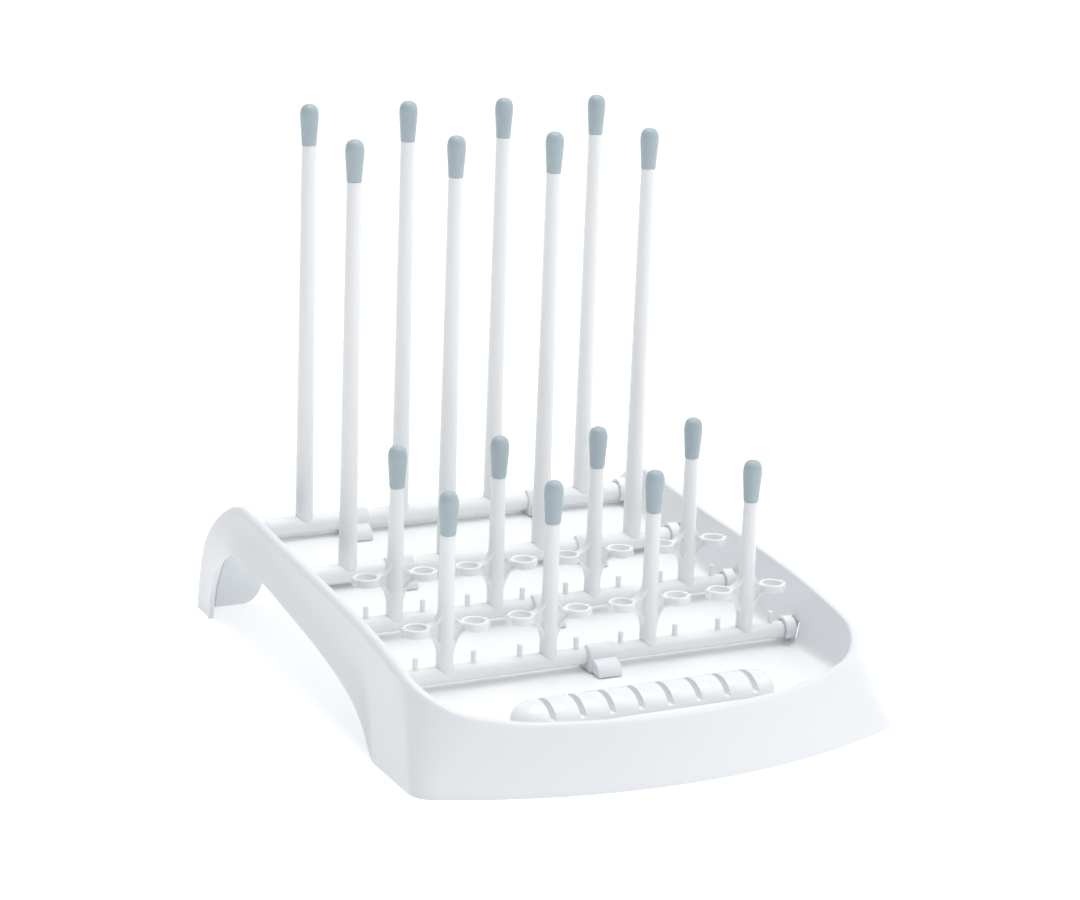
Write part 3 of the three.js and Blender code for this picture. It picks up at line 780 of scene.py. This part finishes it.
def ridge_mesh():
    """The slotted half barrel with round ends in the front basin."""
    floor = smooth_height(FLOOR_HEIGHTS, RIDGE_Y)
    spine = RIDGE_HALF_LENGTH - RIDGE_HALF_WIDTH
    rise = RIDGE_TOP - floor
    levels = [(RIDGE_HALF_WIDTH, floor - 1.5)]
    for i in range(13):
        a = math.pi / 2 * i / 12
        levels.append((RIDGE_HALF_WIDTH * math.cos(a), floor + rise * math.sin(a)))
    rings = []
    for radius, z in levels:
        right = [(x, y, z) for x, y in arc((spine, RIDGE_Y), radius, -90, 90, 24)]
        left = [(x, y, z) for x, y in arc((-spine, RIDGE_Y), radius, 90, 270, 24)]
        rings.append(right + left)
    size = len(rings[0])
    points = [p for ring in rings for p in ring]
    faces = [tuple(range(size))]
    for level in range(len(rings) - 1):
        for k in range(size):
            a, b = level * size + k, level * size + (k + 1) % size
            faces.append((a, b, b + size, a + size))
    barrel = mesh_of("ridge", points, faces)
    slots = []
    for i in range(RIDGE_SLOTS):
        x = (i - (RIDGE_SLOTS - 1) / 2) * RIDGE_SLOT_PITCH
        outline = [(-25, RIDGE_SLOT_FLOOR), (25, RIDGE_SLOT_FLOOR), (25, 50), (-25, 50)]
        outline = [(RIDGE_Y + u, v) for u, v in outline]
        slots.append(prism("slot", outline, RIDGE_SLOT_WIDTH, "X", x))
    cut = combined(barrel, gathered("slots", slots), "DIFFERENCE")
    return bevelled(cut, 0.45, angle=50)


def wall_windows():
    """The moulding slots in the inner wall beside each bar's ends."""
    made = []
    for rail in RAILS.values():
        for side in (-1, 1):
            y, z = rail["y"] - 3, rail["z"]
            corners = [(y - 4.2, z - 7), (y + 1.8, z - 7), (y + 3, z + 5), (y - 3, z + 5)]
            outline = rounded(corners + corners[:2], 1.2)[1:-1]
            made.append(prism("window", outline, WINDOW_DEPTH, "X", side * WINDOW_X))
    return made


def bar_rooms():
    """Round room for the bars' ends in the tray's inner wall."""
    made = []
    for rail in RAILS.values():
        radius, reach = BAR_RADIUS[rail["tall"]] + CLIP_GAP, BAR_HALF_LENGTH + 2 * CLIP_GAP
        room = turned("room", rod(radius, reach), 48, axis="X")
        made.append(shifted(room, 0, rail["y"], rail["z"]))
    return made


def clip_mesh(side, bar_radius):
    """A hooked bearing that curls over a bar's end, with the arm that holds it."""
    bore = bar_radius + CLIP_GAP

    def band(span, length):
        outline = arc((0, 0), bore + CLIP_WALL, *span) + arc((0, 0), bore, *span)[::-1]
        made = prism("band", outline, length, "X", side * (CLIP_INNER_X + length / 2))
        return bevelled(made, 0.5)

    return combined(band(HOOK_ARC, CLIP_LENGTH), band(ARM_ARC, CLIP_ARM), "UNION")


# ---- saddles ---------------------------------------------------------------------------------
def saddle_mesh(rail):
    """A saddle block with a hooked front jaw and a round toe."""
    half = SADDLE_DEPTH / 2
    radius = BAR_RADIUS[rail["tall"]]

    def floor(y):
        return smooth_height(FLOOR_HEIGHTS, rail["y"] + y) - rail["z"] + 0.45

    block = [
        (-half, floor(-half)), (half, floor(half)), (half, 0), (half - 1.5, 1.2), (2, 1.2), (2, 3.4),
        (-0.6, radius + 1.8), (-3.6, radius + 1.5), (-6.2, 3.6), (-half + 0.3, 1),
    ]
    body = bevelled(prism("saddle", block, SADDLE_WIDTH, "X"), 0.7, segments=3)
    toe_floor = floor(-half - SADDLE_TOE)
    toe = arc((-half, toe_floor), SADDLE_TOE, 90, 180, 14)
    toe = [(-half + 2, toe_floor + SADDLE_TOE)] + toe + [(-half + 2, floor(-half + 2))]
    foot = bevelled(prism("toe", toe, SADDLE_WIDTH - 2.5, "X"), 0.6, angle=50)
    reach = radius + SADDLE_GAP
    bore = turned("bore", rod(reach, 20), 96, axis="X")
    return combined(combined(body, foot, "UNION"), bore, "DIFFERENCE")


# ---- rails -----------------------------------------------------------------------------------
def bar_mesh(tall):
    """A turning bar with rounded ends, and on a short rail a round pin under each ring."""
    radius = BAR_RADIUS[tall]
    profile = rounded(rod(radius, BAR_HALF_LENGTH), BAR_END_ROUNDING, 4)
    body = turned("bar", profile, 64, axis="X")
    if tall:
        return body
    top = radius + PIN_HEIGHT
    pin = turned("pin", rounded([(0, 0), (PIN_RADIUS, 0), (PIN_RADIUS, top), (0, top)], 0.9, 4), 24)
    pins = [shifted(pin, x + side * RING_OFFSET, 0, 0) for x in COLUMNS for side in (-1, 1)]
    return combined(body, gathered("pins", pins), "UNION")


def stem_profile(top, foot, neck):
    shoulder = top - CAP_LENGTH - CAP_GAP
    stud_top = shoulder + STUD_LENGTH
    corners = [
        (0, -3), (foot, -3), (foot, FOOT_HEIGHT), (neck, shoulder), (STUD_RADIUS, shoulder),
        (STUD_RADIUS, stud_top), (0, stud_top),
    ]
    return rounded(corners, 0.35)


def saddle_foot(mesh, bar_radius):
    """Cuts a peg's foot to sit over its bar's upper half with a hairline gap."""
    reach = bar_radius + FOOT_GAP
    bar = turned("bar", rod(reach, 30), 96, axis="X")
    cleared = combined(mesh, bar, "DIFFERENCE")
    below = prism("below", [(-30, -20), (30, -20), (30, 0), (-30, 0)], 60, "Y")
    return combined(cleared, below, "DIFFERENCE")


def ring_holder(outer, bore):
    """A split ring with lips, on a thin web between two curved strips, on the +X side."""
    reach = RING_OFFSET - outer + 1.1
    lower_top = RING_TOP - RING_HEIGHT - 0.9
    sweeps = (
        ((reach, RING_TOP + UPPER_STRIP_RISE), UPPER_STRIP_RISE, 180, 270),
        ((reach, lower_top - LOWER_STRIP_DROP), LOWER_STRIP_DROP, 90, 180),
    )

    def curve(sweep, more, steps):
        centre, height, start, end = sweep
        return arc(centre, STRIP_REACH + more, start, end, steps, tall=height + more)

    def strip(sweep):
        outline = curve(sweep, 0, 22) + curve(sweep, STRIP_THICKNESS, 22)[::-1]
        return bevelled(prism("strip", outline, STRIP_WIDTH, "Y"), 0.35)

    web_outline = [p for sweep in sweeps for p in curve(sweep, STRIP_THICKNESS / 2, 18)]
    web = prism("web", web_outline, WEB_THICKNESS, "Y")
    half = SLIT / 2
    lip = RING_OFFSET + outer + LIP_LENGTH
    outline = [(lip, half), (lip, half + LIP_THICKNESS)]
    outline += arc((RING_OFFSET, 0), outer, 20, 340, 56)
    outline += [(lip, -half - LIP_THICKNESS), (lip, -half)]
    outline += arc((RING_OFFSET, 0), bore, 9, 351, 56)[::-1]
    ring = bevelled(prism("ring", outline, RING_HEIGHT, "Z", RING_TOP - RING_HEIGHT / 2), 0.35)
    return [strip(sweeps[0]), strip(sweeps[1]), web, ring]


def ringed_peg_mesh(settings):
    """A short peg with its two ring holders, grown together as one moulding."""
    body = turned("peg", stem_profile(SHORT_TOP, SHORT_FOOT, SHORT_NECK), settings.peg_segments)
    for part in ring_holder(settings.ring_outer / MM, settings.ring_bore / MM):
        body = combined(body, part, "UNION")
        body = combined(body, shifted(part, 0, 0, 0, mirror=True), "UNION")
    grown = worked(
        body,
        ("REMESH", {"mode": "VOXEL", "voxel_size": PEG_GRAIN * MM, "use_smooth_shade": True}),
        ("SMOOTH", {"factor": 0.5, "iterations": 2}))
    return saddle_foot(grown, BAR_RADIUS[False])


def tall_peg_mesh(settings):
    stem = turned("peg", stem_profile(TALL_TOP, TALL_FOOT, TALL_NECK), settings.peg_segments)
    return saddle_foot(stem, BAR_RADIUS[True])


def cap_mesh(radius):
    """A soft cap that swells towards its round top."""
    outline = [(0, 3), (2.6, 3), (2.6, -0.22), (4.0, -0.22), (4.2, 0)]
    swell = [
        (4.2, 0), (4.35, 3), (4.6, 6.5), (4.9, 10.5), (radius - 0.04, 14), (radius, 16.8),
        (radius - 0.3, 19), (4.1, 20.9), (2.4, 22.2), (0, CAP_LENGTH),
    ]
    fine = [through(swell, i / 45) for i in range(1, 46)]
    return turned("soft_cap", outline + fine, 48)


# ---- operators -------------------------------------------------------------------------------
class RACK_OT_drip_tray(bpy.types.Operator):
    """Build the moulded tray with its ridge and bar clips"""

    bl_idname = "rack.drip_tray"
    bl_label = "Drip Tray"

    def execute(self, context):
        settings = context.scene.drying_rack.tray
        finish = tray_finish(settings)
        shell = tray_shell(settings.wall / MM, settings.floor_fillet / MM)
        shell = bevelled(shell, settings.edge_rounding / MM, angle=50)
        shell = combined(shell, gathered("windows", wall_windows()), "DIFFERENCE")
        shell = combined(shell, gathered("rooms", bar_rooms()), "DIFFERENCE")
        shell = combined(shell, ridge_mesh(), "UNION")
        if len(shell.polygons) < LEAST_TRAY_FACES:
            raise RuntimeError("the tray's moulding came out empty")
        piece("drip_tray", shell, finish, "tray", ["base_tray"])
        for side, word in ((-1, "left"), (1, "right")):
            clips = {tall: clip_mesh(side, radius) for tall, radius in BAR_RADIUS.items()}
            for name, rail in RAILS.items():
                place = (0, rail["y"], rail["z"])
                clip = clips[rail["tall"]]
                piece(f"{name}_clip_{word}", clip, finish, "tray", [], place)
        return {"FINISHED"}


class RACK_OT_saddles(bpy.types.Operator):
    """Build the saddle blocks that carry the bars"""

    bl_idname = "rack.saddles"
    bl_label = "Bar Saddles"

    def execute(self, context):
        finish = saddle_finish(context.scene.drying_rack.tray)
        for name, rail in RAILS.items():
            mesh = saddle_mesh(rail)
            for i, x in enumerate(rail["saddles"], 1):
                place, nodes = (x, rail["y"], rail["z"]), [f"{name}_support_{i}"]
                piece(f"{name}_saddle_{i}", mesh, finish, "tray", nodes, place)
        return {"FINISHED"}


class RACK_OT_bars(bpy.types.Operator):
    """Build the four turning bars"""

    bl_idname = "rack.bars"
    bl_label = "Turning Bars"

    def execute(self, context):
        finish = rail_finish("bar_white", context.scene.drying_rack.rails)
        meshes = {tall: bar_mesh(tall) for tall in (False, True)}
        for name, rail in RAILS.items():
            mesh, place = meshes[rail["tall"]], (0, rail["y"], rail["z"])
            nodes = [f"{name}_bar"]
            piece(f"{name}_turning_bar", mesh, finish, name, nodes, place)
        return {"FINISHED"}


class RACK_OT_pegs(bpy.types.Operator):
    """Build the ringed short pegs and the tall pegs"""

    bl_idname = "rack.pegs"
    bl_label = "Pegs"

    def execute(self, context):
        settings = context.scene.drying_rack.rails
        finish = rail_finish("peg_white", settings)
        meshes = {False: ringed_peg_mesh(settings), True: tall_peg_mesh(settings)}
        for name, rail in RAILS.items():
            mesh, word = meshes[rail["tall"]], "tall_peg" if rail["tall"] else "ringed_peg"
            for i, x in enumerate(COLUMNS, 1):
                place, nodes = (x, rail["y"], rail["z"]), [f"{name}_peg_{i}"]
                piece(f"{name}_{word}_{i}", mesh, finish, name, nodes, place)
        return {"FINISHED"}


class RACK_OT_soft_caps(bpy.types.Operator):
    """Build the soft caps on the pegs"""

    bl_idname = "rack.soft_caps"
    bl_label = "Soft Caps"

    def execute(self, context):
        settings = context.scene.drying_rack.caps
        finish = cap_finish(settings)
        mesh = cap_mesh(settings.radius / MM)
        for name, rail in RAILS.items():
            top = TALL_TOP if rail["tall"] else SHORT_TOP
            for i, x in enumerate(COLUMNS, 1):
                place, nodes = (x, rail["y"], rail["z"] + top - CAP_LENGTH), [f"{name}_tip_{i}"]
                piece(f"{name}_soft_cap_{i}", mesh, finish, name, nodes, place)
        return {"FINISHED"}


class RACK_OT_stage(bpy.types.Operator):
    """Set up the pale floor, the soft light and the camera"""

    bl_idname = "rack.stage"
    bl_label = "Stage"

    def execute(self, context):
        settings = context.scene.drying_rack.stage
        add_floor(settings)
        add_lights(context.scene, settings)
        add_camera(context.scene)
        return {"FINISHED"}


# ---- finishes of the pieces ------------------------------------------------------------------
GLOSS_SLOPE = 0.145  # about the drip floor's rise to the rear
GLOSS_AND_PAINTED_LIGHT_TOP = (0.046, 0.051)  # the floor's gloss and its painted light fade out between these heights at y 0, in metres


def tray_finish(settings):
    """Satin white moulding with a glossier drip floor painted a lighter white as painted light, faint flow
    marks and fine texture.
    """
    finish = Finish("tray_white_moulding")
    place = finish.place()
    along = finish.axis(place, "Y")
    height = finish.axis(place, "Z")
    facing = finish.axis(finish.node("ShaderNodeTexCoord", output="Normal"), "Z")
    low = 1 - finish.ramp(height - GLOSS_SLOPE * along, *GLOSS_AND_PAINTED_LIGHT_TOP)
    basin = low * finish.ramp(facing, 0.5, 0.85)
    cloud = finish.grain(14, 3)
    grain = finish.grain(1500, 2)
    scuff = finish.ramp(finish.grain(170, 6, 0.7), 0.56, 0.7)
    rough = settings.roughness + (settings.floor_roughness - settings.roughness) * basin
    rough = rough + 0.05 * (cloud - 0.5) + 0.035 * scuff
    walls = finish.mix(cloud, rgba(settings.colour, 0.985), rgba(settings.colour, 1.01))
    # Painted light: the low, up-facing drip floor gets a lighter white than the walls of the same moulding.
    # This stands in for the brighter light falling on the floor; the walls' darker white is the shaded
    # copy.
    colour = finish.mix(basin, walls, rgba(settings.floor_colour))
    normal = finish.bump(0.75 * grain + 2.2 * finish.grain(60, 2), 0.10, 0.05)
    return finish.set(
        Base_Color=colour, Roughness=rough, Normal=normal, IOR=1.49,
        Subsurface_Weight=0.12, Subsurface_Radius=(1.0, 0.95, 0.9), Subsurface_Scale=0.0015)


def saddle_finish(settings):
    finish = Finish("saddle_white_moulding")
    cloud = finish.grain(60, 3)
    colour = finish.mix(cloud, rgba(settings.colour, 0.97), rgba(settings.colour, 1.0))
    return finish.set(
        Base_Color=colour, Roughness=settings.roughness + 0.08 * (cloud - 0.5),
        Normal=finish.bump(finish.grain(1500, 2), 0.1, 0.05), IOR=1.49)


def rail_finish(name, settings):
    """Satin white of the bars and pegs, a shade greyer than the tray."""
    finish = Finish(name)
    cloud = finish.grain(45, 3)
    grain = finish.grain(1700, 2)
    streak = finish.ramp(finish.grain(220, 5, 0.65), 0.55, 0.72)
    colour = finish.mix(cloud, rgba(settings.colour, 0.985), rgba(settings.colour, 1.01))
    rough = settings.roughness + 0.06 * (cloud - 0.5) + 0.04 * streak
    return finish.set(
        Base_Color=colour, Roughness=rough, Normal=finish.bump(grain, 0.12, 0.05), IOR=1.49,
        Subsurface_Weight=0.1, Subsurface_Radius=(1.0, 0.95, 0.9), Subsurface_Scale=0.0012)


def cap_finish(settings):
    """Soft grey-blue elastomer with a faint bloom."""
    finish = Finish("soft_cap_blue")
    cloud = finish.grain(120, 3)
    bloom = finish.ramp(finish.grain(420, 4, 0.6), 0.5, 0.75)
    deep = finish.mix(cloud, rgba(settings.colour, 1.04), rgba(settings.colour, 1.16))
    colour = finish.mix(0.10 * bloom, deep, rgba((0.62, 0.68, 0.72)))
    rough = settings.roughness + 0.10 * (cloud - 0.5) + 0.06 * bloom
    return finish.set(
        Base_Color=colour, Roughness=rough, Normal=finish.bump(finish.grain(1400, 2), 0.16, 0.05),
        IOR=1.44, Sheen_Weight=0.12, Sheen_Roughness=0.4)


# ---- stage -----------------------------------------------------------------------------------
FLOOR_REACH = 14.0  # metres
PALE_SKY = (0.985, 0.992, 1.0)


def add_floor(settings):
    mesh = bpy.data.meshes.new("pale_floor")
    turns = ((-1, -1), (1, -1), (1, 1), (-1, 1))
    mesh.from_pydata([(u * FLOOR_REACH, v * FLOOR_REACH, 0) for u, v in turns], [], [(0, 1, 2, 3)])
    floor = bpy.data.objects.new("pale_floor", mesh)
    bpy.context.scene.collection.objects.link(floor)
    finish = Finish("pale_floor")
    cloud = finish.grain(3, 3)
    glow = settings.floor_glow
    colour = finish.mix(cloud, rgba(settings.floor_colour, 0.995), rgba(settings.floor_colour))
    finish.set(Base_Color=colour, Roughness=0.7, Emission_Color=(1, 1, 1, 1), Emission_Strength=glow)
    mesh.materials.append(finish.material)
    floor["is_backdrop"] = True


def aim(lamp, goal):
    lamp.rotation_euler = (Vector(goal) - lamp.location).to_track_quat("-Z", "Y").to_euler()


def add_lights(scene, settings):
    surround = Surround("pale_surround")
    way = surround.node("ShaderNodeTexCoord", output="Generated")
    x, y, z = (surround.axis(way, name) for name in "XYZ")
    share = surround.ramp(0.62 * x + 0.16 * y + 0.76 * z, -0.72, 0.6)
    colour = surround.mix(share, rgba(PALE_SKY, settings.dim_side), rgba(PALE_SKY))
    scene.world = surround.set(Color=colour, Strength=settings.surround)
    scene.view_settings.view_transform = "Standard"
    lamps = (
        ("key_softbox", (1.1, -1.0, 1.5), 1.1, settings.key_power),
        ("top_softbox", (0.1, 0.1, 1.9), 1.2, settings.top_power),
    )
    for name, place, size, power in lamps:
        data = bpy.data.lights.new(name, "AREA")
        data.shape = "SQUARE"
        data.size = size
        data.energy = power
        lamp = bpy.data.objects.new(name, data)
        lamp.location = place
        scene.collection.objects.link(lamp)
        aim(lamp, (0, 0, 0.08))


CAMERA_PLACE = (-651.6, -1256.9, 509.1)
CAMERA_TURN = (-27.2, 15.1, 2.1)  # azimuth, elevation and roll in degrees
CAMERA_LENS = 89.91


def add_camera(scene):
    azimuth, elevation, roll = (math.radians(v) for v in CAMERA_TURN)
    right = Vector((math.cos(azimuth), math.sin(azimuth), 0))
    level = math.cos(elevation)
    back = Vector((math.sin(azimuth) * level, -math.cos(azimuth) * level, math.sin(elevation)))
    up = back.cross(right)
    side = right * math.cos(roll) + up * math.sin(roll)
    rise = up * math.cos(roll) - right * math.sin(roll)
    data = bpy.data.cameras.new("front_left_view")
    data.sensor_width = 36
    data.lens = CAMERA_LENS
    data.clip_end = 60
    camera = bpy.data.objects.new("front_left_view", data)
    turn = Matrix((side, rise, back)).transposed()
    camera.matrix_world = Matrix.Translation(Vector(CAMERA_PLACE) * MM) @ turn.to_4x4()
    scene.collection.objects.link(camera)
    scene.camera = camera


# ---- panel and registration --------------------------------------------------------------------
class RACK_PT_panel(bpy.types.Panel):
    """Lists the rack's settings and the operators that build it"""

    bl_idname = "RACK_PT_panel"
    bl_label = "Bottle Drying Rack"
    bl_space_type = "VIEW_3D"
    bl_region_type = "UI"
    bl_category = "Drying Rack"

    def draw(self, context):
        settings = context.scene.drying_rack
        for group in (settings.stage, settings.tray, settings.rails, settings.caps):
            box = self.layout.box()
            for key in group.bl_rna.properties.keys():
                if key not in ("rna_type", "name"):
                    box.prop(group, key)
        for operator in OPERATORS:
            self.layout.operator(operator.bl_idname)


OPERATORS = (
    RACK_OT_stage, RACK_OT_drip_tray, RACK_OT_saddles, RACK_OT_bars, RACK_OT_pegs, RACK_OT_soft_caps,
)
SETTINGS = (DripTraySettings, RailSettings, SoftCapSettings, StageSettings, DryingRackSettings)


def register():
    for made in (*SETTINGS, *OPERATORS, RACK_PT_panel):
        bpy.utils.register_class(made)
    bpy.types.Scene.drying_rack = PointerProperty(type=DryingRackSettings)


def unregister():
    del bpy.types.Scene.drying_rack
    for made in reversed((*SETTINGS, *OPERATORS, RACK_PT_panel)):
        bpy.utils.unregister_class(made)


def corners(bounds):
    return [list(corner) for corner in bounds]


def main():
    cad_box = corners(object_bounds())
    register()
    bpy.ops.rack.stage()
    bpy.ops.rack.drip_tray()
    bpy.ops.rack.saddles()
    bpy.ops.rack.bars()
    bpy.ops.rack.pegs()
    bpy.ops.rack.soft_caps()
    {"cad": cad_box, "visual": corners(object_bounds())}


if __name__ == "__main__":
    main()
